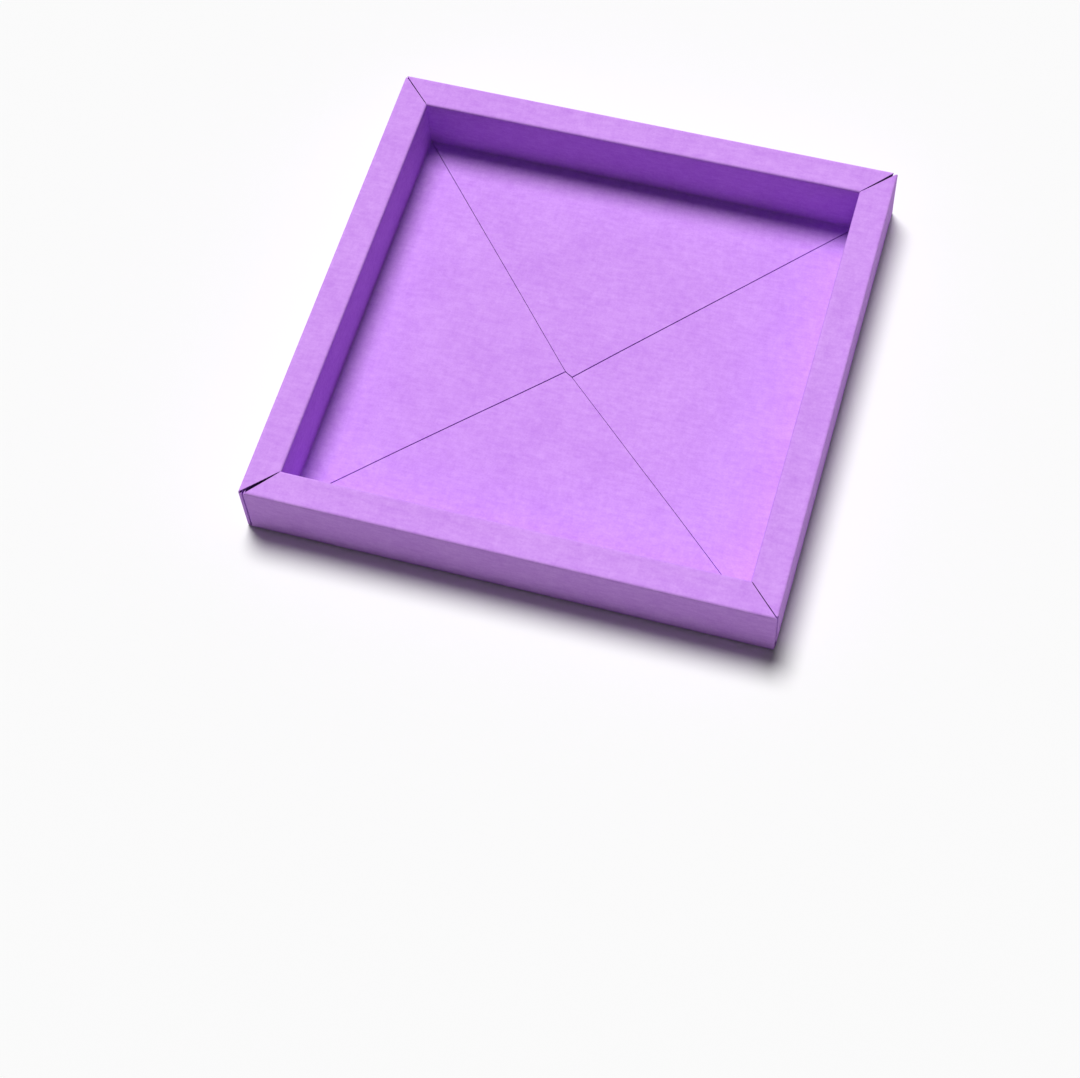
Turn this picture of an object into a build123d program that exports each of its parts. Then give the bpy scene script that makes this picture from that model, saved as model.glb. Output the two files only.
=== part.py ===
from build123d import *
import math
import os

# Folded paper tray: one square sheet, creased into a flat base, four outer walls, a hollow rim with
# mitred top strips, four inner walls, and four triangular flaps that lie on the base.
# Millimetres, +Z up. The origin is the middle of the underside of the base.

# Driving dimensions
sheet_side = 150.0        # side of the square sheet before folding
rim_height = 10.5         # from the underside of the base to the top of the rim
rim_width = 5.3           # across the flat top of the rim
paper = 0.20              # thickness of the paper
layer_gap = 0.15          # air between two layers that lie on each other
crease_radius = 0.20      # inside radius of a square crease
slit = 0.20               # width of the open line where two folded edges meet
meet_x = -1.1             # where the tips of the four flaps meet, from the middle of the base
meet_y = -3.0

# The sheet's diagonal covers the base, both rims and the two flaps that reach the middle
box_side = sheet_side / math.sqrt(2) - 2 * rim_height
half = box_side / 2
bend = crease_radius + paper             # outside radius of a square crease
bend_mid = crease_radius + paper / 2
step = paper + layer_gap                 # from one layer to the next
inner_half = half - rim_width            # visible face of the inner walls
flap_level = step                        # underside of the flaps
fold_reach = paper + layer_gap / 2       # outside radius of an edge folded flat on itself
mid_wall = half - paper / 2
wall_height = rim_height - 2 * bend
overrun = 1.0                            # how far cutting shapes run past what they cut

# One side, on +X: the creases and strips that have the same section all along it
with BuildPart() as side:
    with BuildSketch(Plane.XZ) as rim_section:
        with BuildLine():
            FilletPolyline(
                (half - bend - paper, paper / 2),
                (mid_wall, paper / 2),
                (mid_wall, rim_height - paper / 2),
                (inner_half + paper / 2, rim_height - paper / 2),
                (inner_half + paper / 2, flap_level + paper / 2),
                (inner_half - bend, flap_level + paper / 2),
                radius=bend_mid,
            )
            offset(amount=paper / 2)
        make_face()
    extrude(amount=half, both=True)
    # 45 degree mitres, with the slit left open between this side and the next
    with BuildSketch():
        with BuildLine():
            Polyline(
                (slit / math.sqrt(2), 0),
                (half + overrun, half + overrun - slit / math.sqrt(2)),
                (half + overrun, -half - overrun + slit / math.sqrt(2)),
                close=True,
            )
        make_face()
    extrude(amount=rim_height, mode=Mode.INTERSECT)
    # The upright wall between its creases is made below, with its gussets
    with BuildSketch(Plane.XY.offset(bend)):
        with Locations((half, 0)):
            Rectangle(2 * (paper + layer_gap / 2), box_side + overrun)
    extrude(amount=wall_height, mode=Mode.SUBTRACT)

# The outer wall of that side: one end is folded flat on itself, the other bends round the corner
# and goes in behind the folded end of the next wall
tuck = half - 2 * step - paper / 2
with BuildPart() as wall:
    with BuildSketch(Plane.XY.offset(bend)):
        with BuildLine():
            inside_end = Line((mid_wall - step, half - rim_height), (mid_wall - step, half - fold_reach))
            ThreePointArc(
                inside_end @ 1,
                (mid_wall - step / 2, half - paper / 2),
                (mid_wall, half - fold_reach),
            )
            FilletPolyline(
                (mid_wall, half - fold_reach),
                (mid_wall, -tuck),
                (half - rim_height, -tuck),
                radius=bend_mid,
            )
            offset(amount=paper / 2)
        make_face()
    extrude(amount=wall_height)
    # The two gussets are triangles: each is cut along the diagonal crease
    with BuildSketch(Plane.YZ.offset(half - paper - layer_gap / 2)):
        with BuildLine():
            Polyline(
                (half, 0),
                (half - rim_height - overrun, 0),
                (half - rim_height - overrun, rim_height + overrun),
                close=True,
            )
        make_face()
    extrude(amount=-step, mode=Mode.SUBTRACT)
    with BuildSketch(Plane.XZ.offset(half - paper - layer_gap / 2 - step)):
        with BuildLine():
            Polyline(
                (half, 0),
                (half - rim_height - overrun, 0),
                (half - rim_height - overrun, rim_height + overrun),
                close=True,
            )
        make_face()
    extrude(amount=-step, mode=Mode.SUBTRACT)

# The diagonal crease that joins the two gussets at the corner of +X and +Y
crease_start = 2 * bend + fold_reach
crease_run = math.sqrt(2) * (rim_height - bend - fold_reach - crease_start)
crease_plane = Plane(
    origin=(half - paper - layer_gap - fold_reach, half - crease_start, crease_start),
    x_dir=(1, 0, 0),
    z_dir=(0, -1, 1),
)
with BuildPart() as gusset_crease:
    with BuildSketch(crease_plane):
        Circle(fold_reach)
        Circle(layer_gap / 2, mode=Mode.SUBTRACT)
        with Locations((0, fold_reach)):
            Rectangle(4 * fold_reach, 2 * fold_reach, mode=Mode.SUBTRACT)
    extrude(amount=crease_run)

# The whole sheet
with BuildPart() as folded_sheet:
    with BuildSketch():
        Rectangle(2 * (half - bend), 2 * (half - bend))
    extrude(amount=paper)
    with BuildSketch(Plane.XY.offset(flap_level)):
        Rectangle(2 * (inner_half - bend_mid), 2 * (inner_half - bend_mid))
        with BuildLine() as seams:
            for x_sign in (-1, 1):
                for y_sign in (-1, 1):
                    Line((x_sign * inner_half, y_sign * inner_half), (meet_x, meet_y))
        trace(lines=seams.line, line_width=slit, mode=Mode.SUBTRACT)
    extrude(amount=paper)
    with PolarLocations(0, 4):
        add(side.part)
        add(wall.part)
        add(gusset_crease.part)

folded_sheet.part.label = "folded_sheet"

os.makedirs("parts", exist_ok=True)
export_step(folded_sheet.part, "parts/folded_sheet.step")
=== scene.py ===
import math

import bmesh
import bpy
from mathutils import Matrix, Vector, noise


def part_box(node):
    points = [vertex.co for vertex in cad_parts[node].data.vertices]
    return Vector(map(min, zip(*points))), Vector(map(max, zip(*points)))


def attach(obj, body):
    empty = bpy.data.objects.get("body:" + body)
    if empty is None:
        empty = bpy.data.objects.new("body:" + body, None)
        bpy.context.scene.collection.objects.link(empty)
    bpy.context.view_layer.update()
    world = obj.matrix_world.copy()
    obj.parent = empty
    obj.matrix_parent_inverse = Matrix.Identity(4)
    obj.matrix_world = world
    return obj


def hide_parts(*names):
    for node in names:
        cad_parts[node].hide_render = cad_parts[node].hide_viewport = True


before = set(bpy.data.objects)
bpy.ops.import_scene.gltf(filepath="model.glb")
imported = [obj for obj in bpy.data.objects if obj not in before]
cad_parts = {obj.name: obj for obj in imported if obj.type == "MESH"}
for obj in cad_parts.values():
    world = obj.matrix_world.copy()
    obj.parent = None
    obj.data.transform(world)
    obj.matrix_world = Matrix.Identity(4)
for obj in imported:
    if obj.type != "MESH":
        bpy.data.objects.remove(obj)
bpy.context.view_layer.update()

bl_info = {
    "name": "Folded Paper Tray",
    "version": (1, 0, 0),
    "blender": (4, 5, 0),
    "location": "View3D > Sidebar > Paper Tray",
    "description": "Folds a square paper tray from one sheet, colours it and sets a plain stage",
    "category": "Add Mesh",
}

NODE = "folded_sheet"
LOW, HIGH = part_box(NODE)
SIDE = HIGH.x - LOW.x
MM = 0.001
NEAR = 0.00001          # how close a point has to be to count as at a place
LONG_EDGE = 1.0 * MM    # edges longer than this are divided
CUTS = 12
UNEVEN_SCALE = 55       # swells per metre in the paper
FLAP_EASE = 12 * MM     # over which a flap leaves its crease


class TraySizes(bpy.types.PropertyGroup):
    """Sizes of the folded sheet"""

    paper: bpy.props.FloatProperty(
        name="Paper", description="Thickness of the paper", default=0.2 * MM, unit="LENGTH")
    step: bpy.props.FloatProperty(
        name="Layer Step", description="From one layer of the fold to the next", default=0.35 * MM, unit="LENGTH")
    rim_width: bpy.props.FloatProperty(
        name="Rim Width", description="Across the flat top of the rim", default=5.3 * MM, unit="LENGTH")
    crease: bpy.props.FloatProperty(
        name="Crease", description="How far a crease rounds off each face", default=0.28 * MM, unit="LENGTH")
    slit: bpy.props.FloatProperty(
        name="Slit", description="Open line between two folded edges", default=0.09 * MM, unit="LENGTH")
    lap: bpy.props.FloatProperty(
        name="Lap", description="How much higher each flap lies than the one it covers",
        default=0.07 * MM, unit="LENGTH")
    left_tip: bpy.props.FloatVectorProperty(
        name="Left Tip", description="Where the left flap ends", size=2,
        default=(-1.74 * MM, -2.64 * MM), unit="LENGTH")
    right_tip: bpy.props.FloatVectorProperty(
        name="Right Tip", description="Where the right flap ends", size=2,
        default=(-0.46 * MM, -3.36 * MM), unit="LENGTH")
    gusset: bpy.props.FloatProperty(
        name="Gusset", description="How far a corner gusset runs along its wall", default=8.0 * MM, unit="LENGTH")
    rise: bpy.props.FloatProperty(
        name="Flap Rise", description="How far the flaps lift off the base between their seams",
        default=0.35 * MM, unit="LENGTH")
    sag: bpy.props.FloatProperty(
        name="Rim Sag", description="How far the rim's flat top dips between its creases",
        default=0.14 * MM, unit="LENGTH")


class TrayPaper(bpy.types.PropertyGroup):
    """Colour and grain of the paper"""

    light: bpy.props.FloatVectorProperty(
        name="Light Tone", description="Colour of the raised fibres", subtype="COLOR", size=3,
        default=(0.68, 0.35, 0.93), min=0.0, max=1.0)
    dark: bpy.props.FloatVectorProperty(
        name="Dark Tone", description="Colour between the fibres", subtype="COLOR", size=3,
        default=(0.54, 0.23, 0.81), min=0.0, max=1.0)
    grain: bpy.props.FloatProperty(
        name="Grain", description="Height of the paper's tooth", default=0.02 * MM, unit="LENGTH")


class TrayStage(bpy.types.PropertyGroup):
    """Camera, light and floor"""

    azimuth: bpy.props.FloatProperty(
        name="Azimuth", description="Direction the camera looks from", default=math.radians(20.8), subtype="ANGLE")
    elevation: bpy.props.FloatProperty(
        name="Elevation", description="Height of the camera above the horizon",
        default=math.radians(60.87), subtype="ANGLE")
    roll: bpy.props.FloatProperty(
        name="Roll", description="Tilt of the camera about its view", default=math.radians(-5.21), subtype="ANGLE")
    distance: bpy.props.FloatProperty(
        name="Distance", description="From the aim to the camera, in sides of the tray", default=4.433)
    aim: bpy.props.FloatVectorProperty(
        name="Aim", description="Aim right of and above the tray's middle, in sides of the tray", size=2,
        default=(-0.0775, -0.3357))
    lens: bpy.props.FloatProperty(name="Lens", description="Focal length in millimetres", default=77.16)
    key: bpy.props.FloatProperty(name="Key Light", description="Strength of the soft main light", default=3.35)
    softness: bpy.props.FloatProperty(
        name="Softness", description="How wide the main light looks from the tray",
        default=math.radians(26), subtype="ANGLE")
    fill: bpy.props.FloatProperty(name="Fill", description="Strength of the even light all round", default=0.06)


def free_selection():
    """Leave nothing selected."""
    bpy.ops.object.select_all(action="DESELECT")


def pick(kind, test):
    """Select the vertices or edges whose points all pass the test."""
    bpy.ops.mesh.select_mode(type=kind)
    bpy.ops.mesh.select_all(action="DESELECT")
    mesh = bmesh.from_edit_mesh(bpy.context.object.data)
    parts = mesh.verts if kind == "VERT" else mesh.edges
    for part in parts:
        points = [part] if kind == "VERT" else part.verts
        part.select = all(test(point.co) for point in points)
    mesh.select_flush_mode()
    bmesh.update_edit_mesh(bpy.context.object.data)


def at(**places):
    """A test for points that lie at the given coordinates."""
    index = {"x": 0, "y": 1, "z": 2}
    return lambda co: all(abs(co[index[name]] - place) < NEAR for name, place in places.items())


def pull(offset):
    """Extrude what is selected."""
    bpy.ops.mesh.extrude_region_move(TRANSFORM_OT_translate={"value": offset})


def shift(offset):
    """Move what is selected."""
    bpy.ops.transform.translate(value=offset)


def place(start, end):
    """Move the point at the first place to the second."""
    pick("VERT", at(x=start[0], y=start[1], z=start[2]))
    shift([new - old for old, new in zip(start, end)])


def spread(x, z, from_ends, to_ends):
    """Move the two end points of an edge along the side to new places."""
    for start, end in zip(from_ends, to_ends):
        place((x, start, z), (x, end, z))


def gather(offset=(0, 0, 0)):
    """Draw the selected points together and move what they become."""
    bpy.ops.mesh.select_mode(type="VERT")
    bpy.ops.mesh.merge(type="CENTER")
    shift(offset)


def fold_side(sizes, name, turn, level, wedge, gape, tips):
    """Fold one side: base quarter, outer wall, rim top, inner wall, flap and both gussets.

    level is how high its flap lies over the others, wedge how far its mitre stands open at the outer end,
    gape how far its wall stops short of the next one, and tips the two points where its flap ends.
    """
    half = SIDE / 2
    wall_x = half - sizes.paper / 2
    inner_x = half - sizes.rim_width + sizes.paper / 2
    base_z = sizes.paper / 2
    top_z = HIGH.z - sizes.paper / 2
    foot_z = base_z + 2 * sizes.paper
    head_z = top_z - 2 * sizes.paper
    flap_z = base_z + sizes.step + level * sizes.lap
    folded_end = wall_x - sizes.step / 2
    turned_end = -wall_x + 2 * sizes.step + gape
    mitre_ends = (-wall_x + sizes.slit + wedge, wall_x - sizes.slit)
    rim_ends = (-inner_x + sizes.slit, inner_x - sizes.slit)

    free_selection()
    bpy.ops.mesh.primitive_plane_add(size=1, rotation=(0, math.pi / 2, 0))
    side = bpy.context.object
    side.name = name
    bpy.ops.object.transform_apply(location=False, rotation=True, scale=False)
    bpy.ops.object.mode_set(mode="EDIT")
    bpy.ops.transform.resize(value=(1, folded_end - turned_end, head_z - foot_z), center_override=(0, 0, 0))
    shift((wall_x, (folded_end + turned_end) / 2, (foot_z + head_z) / 2))
    wall_ends = (turned_end, folded_end)

    # rim top, inner wall and flap
    pick("EDGE", at(x=wall_x, z=head_z))
    pull((0, 0, top_z - head_z))
    spread(wall_x, top_z, wall_ends, mitre_ends)
    pick("EDGE", at(x=wall_x, z=top_z))
    pull((inner_x - wall_x, 0, 0))
    spread(inner_x, top_z, mitre_ends, rim_ends)
    pick("EDGE", at(x=inner_x, z=top_z))
    pull((0, 0, flap_z - top_z))
    pick("EDGE", at(x=inner_x, z=flap_z))
    pull((-sizes.gusset, 0, 0))
    unturn = Matrix.Rotation(-turn, 3, "Z")
    local_tips = sorted((unturn @ Vector((*tip, 0)) for tip in tips), key=lambda tip: tip.y)
    for rim_end, tip in zip(rim_ends, local_tips):
        place((inner_x - sizes.gusset, rim_end, flap_z), (tip.x + sizes.slit, tip.y, flap_z + level * sizes.lap))

    # foot of the wall and this side's quarter of the base
    pick("EDGE", at(x=wall_x, z=foot_z))
    pull((0, 0, base_z - foot_z))
    spread(wall_x, base_z, wall_ends, (-wall_x, wall_x))
    pick("EDGE", at(x=wall_x, z=base_z))
    pull((-wall_x, 0, 0))
    gather()
    bpy.ops.mesh.select_all(action="SELECT")
    bpy.ops.mesh.remove_doubles(threshold=NEAR)

    # round the creases
    mesh = bmesh.from_edit_mesh(side.data)
    bpy.ops.mesh.select_mode(type="EDGE")
    bpy.ops.mesh.select_all(action="DESELECT")
    for edge in mesh.edges:
        edge.select = len(edge.link_faces) == 2 and edge.calc_face_angle() > math.radians(60)
    bmesh.update_edit_mesh(side.data)
    bpy.ops.mesh.bevel(offset=sizes.crease, segments=4, profile=0.5)

    # gussets: one end folded flat on itself, the other turned in behind the next wall
    def upright(y):
        return lambda co: at(x=wall_x, y=y)(co) and foot_z - NEAR < co.z < head_z + NEAR

    pick("EDGE", upright(folded_end))
    pull((-sizes.step, sizes.step / 8, 0))
    pull((0, -sizes.gusset, 0))
    gather((0, 0, (head_z - foot_z) / 2))
    pick("EDGE", upright(turned_end))
    pull((-sizes.gusset, 0, 0))
    gather((0, 0, (head_z - foot_z) / 2))
    bpy.ops.object.mode_set(mode="OBJECT")
    side.data.transform(Matrix.Rotation(turn, 4, "Z"))
    return side


def relax(sheet, sizes):
    """Let the flaps lift and the rim tops dip a little, as paper does, with points enough to carry it."""
    inner = SIDE / 2 - sizes.rim_width
    bpy.ops.mesh.select_mode(type="EDGE")
    mesh = bmesh.from_edit_mesh(sheet.data)
    for edge in mesh.edges:
        edge.select = edge.calc_length() > LONG_EDGE
    bmesh.update_edit_mesh(sheet.data)
    bpy.ops.mesh.subdivide(number_cuts=CUTS)
    mesh = bmesh.from_edit_mesh(sheet.data)
    for vert in mesh.verts:
        reach = max(abs(vert.co.x), abs(vert.co.y))
        unevenness = 0.5 + 0.5 * noise.noise(vert.co * UNEVEN_SCALE)
        on_flap = reach < inner - sizes.crease and sizes.paper < vert.co.z < HIGH.z / 4
        on_rim = reach > inner and vert.co.z > HIGH.z - sizes.paper
        if on_flap:
            vert.co.z += sizes.rise * unevenness * min(1, (inner - reach) / FLAP_EASE)
        elif on_rim:
            across = (reach - inner) / sizes.rim_width
            vert.co.z -= sizes.sag * unevenness * max(0, math.sin(math.pi * across))
    bmesh.update_edit_mesh(sheet.data)


def finish_sheet(sizes, sides):
    """Join the sides along the base and give the sheet its thickness."""
    free_selection()
    for side in sides:
        side.select_set(True)
    bpy.context.view_layer.objects.active = sides[0]
    bpy.ops.object.join()
    sheet = bpy.context.object
    sheet.name = "paper_tray"
    bpy.ops.object.mode_set(mode="EDIT")
    bpy.ops.mesh.select_all(action="SELECT")
    bpy.ops.mesh.remove_doubles(threshold=NEAR)
    relax(sheet, sizes)
    bpy.ops.mesh.select_all(action="SELECT")
    bpy.ops.mesh.normals_make_consistent(inside=False)
    bpy.ops.object.mode_set(mode="OBJECT")
    wall = sheet.modifiers.new("paper", "SOLIDIFY")
    wall.thickness = sizes.paper
    wall.offset = 0
    bpy.ops.object.modifier_apply(modifier="paper")
    bpy.ops.object.shade_smooth_by_angle(angle=math.radians(35))
    return sheet


def paper_material(look):
    """Matt coloured paper with a fine tooth, laid lines and soft mottling."""
    material = bpy.data.materials.new("lilac_paper")
    material.use_nodes = True
    nodes, links = material.node_tree.nodes, material.node_tree.links
    shader = nodes["Principled BSDF"]
    shader.inputs["Roughness"].default_value = 0.88
    shader.inputs["Specular IOR Level"].default_value = 0.22
    place = nodes.new("ShaderNodeTexCoord")

    def noise(scale, detail, stretch):
        mapping = nodes.new("ShaderNodeMapping")
        mapping.inputs["Scale"].default_value = stretch
        links.new(place.outputs["Object"], mapping.inputs["Vector"])
        texture = nodes.new("ShaderNodeTexNoise")
        texture.inputs["Scale"].default_value = scale
        texture.inputs["Detail"].default_value = detail
        links.new(mapping.outputs["Vector"], texture.inputs["Vector"])
        return texture.outputs["Fac"]

    def blend(first, second, share):
        mix = nodes.new("ShaderNodeMix")
        mix.inputs["Factor"].default_value = share
        links.new(first, mix.inputs["A"])
        links.new(second, mix.inputs["B"])
        return mix.outputs["Result"]

    laid = noise(1500, 3, (0.3, 1.0, 1.0))
    cross = noise(1300, 3, (1.0, 0.35, 1.0))
    tooth = noise(3200, 4, (1.0, 1.0, 1.0))
    mottle = noise(95, 4, (1.0, 1.0, 1.0))
    fibres = blend(blend(laid, cross, 0.4), tooth, 0.35)
    tone = nodes.new("ShaderNodeValToRGB")
    tone.color_ramp.elements[0].position = 0.33
    tone.color_ramp.elements[0].color = (*look.dark, 1)
    tone.color_ramp.elements[1].position = 0.62
    tone.color_ramp.elements[1].color = (*look.light, 1)
    links.new(blend(fibres, mottle, 0.22), tone.inputs["Fac"])
    links.new(tone.outputs["Color"], shader.inputs["Base Color"])
    bump = nodes.new("ShaderNodeBump")
    bump.inputs["Strength"].default_value = 0.6
    bump.inputs["Distance"].default_value = look.grain
    links.new(fibres, bump.inputs["Height"])
    links.new(bump.outputs["Normal"], shader.inputs["Normal"])
    return material


class TRAY_OT_fold_sheet(bpy.types.Operator):
    """Fold the tray from one sheet"""

    bl_idname = "tray.fold_sheet"
    bl_label = "Fold Sheet"

    def execute(self, context):
        sizes = context.scene.tray_sizes
        quarter = math.pi / 2
        left, right = tuple(sizes.left_tip), tuple(sizes.right_tip)
        sides = [
            fold_side(sizes, "right_side", 0, 0, 0.05 * MM, 0.35 * MM, (right, right)),
            fold_side(sizes, "back_side", quarter, 1, 0.45 * MM, 0.05 * MM, (left, right)),
            fold_side(sizes, "left_side", 2 * quarter, 2, 0.1 * MM, 0.05 * MM, (left, left)),
            fold_side(sizes, "front_side", -quarter, 1, 0.85 * MM, 0.1 * MM, (left, right)),
        ]
        sheet = finish_sheet(sizes, sides)
        sheet.data.materials.clear()
        sheet.data.materials.append(paper_material(context.scene.tray_paper))
        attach(sheet, "root")
        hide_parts(NODE)
        return {"FINISHED"}


class TRAY_OT_set_stage(bpy.types.Operator):
    """Set the floor, the lights and the camera"""

    bl_idname = "tray.set_stage"
    bl_label = "Set Stage"

    def execute(self, context):
        stage = context.scene.tray_stage
        free_selection()
        bpy.ops.mesh.primitive_plane_add(size=400 * SIDE, location=(0, 0, LOW.z - 0.02 * MM))
        floor = context.object
        floor.name = "floor"
        pale = bpy.data.materials.new("pale_floor")
        pale.use_nodes = True
        pale.node_tree.nodes["Principled BSDF"].inputs["Base Color"].default_value = (0.93, 0.93, 0.93, 1)
        pale.node_tree.nodes["Principled BSDF"].inputs["Roughness"].default_value = 0.9
        floor.data.materials.append(pale)

        bpy.ops.object.light_add(type="SUN", location=(-3 * SIDE, 5.5 * SIDE, 14 * SIDE))
        key = context.object
        key.data.angle = stage.softness
        key.data.energy = stage.key
        key.rotation_euler = (-key.location).to_track_quat("-Z", "Y").to_euler()
        world = bpy.data.worlds.new("even_light")
        world.use_nodes = True
        world.node_tree.nodes["Background"].inputs["Color"].default_value = (1, 1, 1, 1)
        world.node_tree.nodes["Background"].inputs["Strength"].default_value = stage.fill
        context.scene.world = world
        context.scene.view_settings.view_transform = "Standard"

        flat = math.cos(stage.elevation)
        back = Vector((math.sin(stage.azimuth) * flat, -math.cos(stage.azimuth) * flat, math.sin(stage.elevation)))
        level = Vector((math.cos(stage.azimuth), math.sin(stage.azimuth), 0))
        above = back.cross(level)
        right = math.cos(stage.roll) * level + math.sin(stage.roll) * above
        up = -math.sin(stage.roll) * level + math.cos(stage.roll) * above
        aim = (stage.aim[0] * right + stage.aim[1] * up) * SIDE
        bpy.ops.object.camera_add()
        camera = context.object
        axes = Matrix((right, up, back)).transposed().to_4x4()
        camera.matrix_world = Matrix.Translation(aim + stage.distance * SIDE * back) @ axes
        camera.data.sensor_fit = "HORIZONTAL"
        camera.data.lens = stage.lens
        camera.data.clip_start = 0.01
        context.scene.camera = camera
        return {"FINISHED"}


class TRAY_PT_panel(bpy.types.Panel):
    """Steps that make the tray"""

    bl_label = "Paper Tray"
    bl_idname = "TRAY_PT_panel"
    bl_space_type = "VIEW_3D"
    bl_region_type = "UI"
    bl_category = "Paper Tray"

    def draw(self, context):
        for group in (context.scene.tray_sizes, context.scene.tray_paper, context.scene.tray_stage):
            for name in group.__annotations__:
                self.layout.prop(group, name)
        self.layout.operator(TRAY_OT_fold_sheet.bl_idname)
        self.layout.operator(TRAY_OT_set_stage.bl_idname)


CLASSES = (TraySizes, TrayPaper, TrayStage, TRAY_OT_fold_sheet, TRAY_OT_set_stage, TRAY_PT_panel)


def register():
    for item in CLASSES:
        bpy.utils.register_class(item)
    bpy.types.Scene.tray_sizes = bpy.props.PointerProperty(type=TraySizes)
    bpy.types.Scene.tray_paper = bpy.props.PointerProperty(type=TrayPaper)
    bpy.types.Scene.tray_stage = bpy.props.PointerProperty(type=TrayStage)


def unregister():
    del bpy.types.Scene.tray_stage
    del bpy.types.Scene.tray_paper
    del bpy.types.Scene.tray_sizes
    for item in reversed(CLASSES):
        bpy.utils.unregister_class(item)


def main():
    register()
    bpy.ops.tray.fold_sheet()
    bpy.ops.tray.set_stage()


if __name__ == "__main__":
    main()
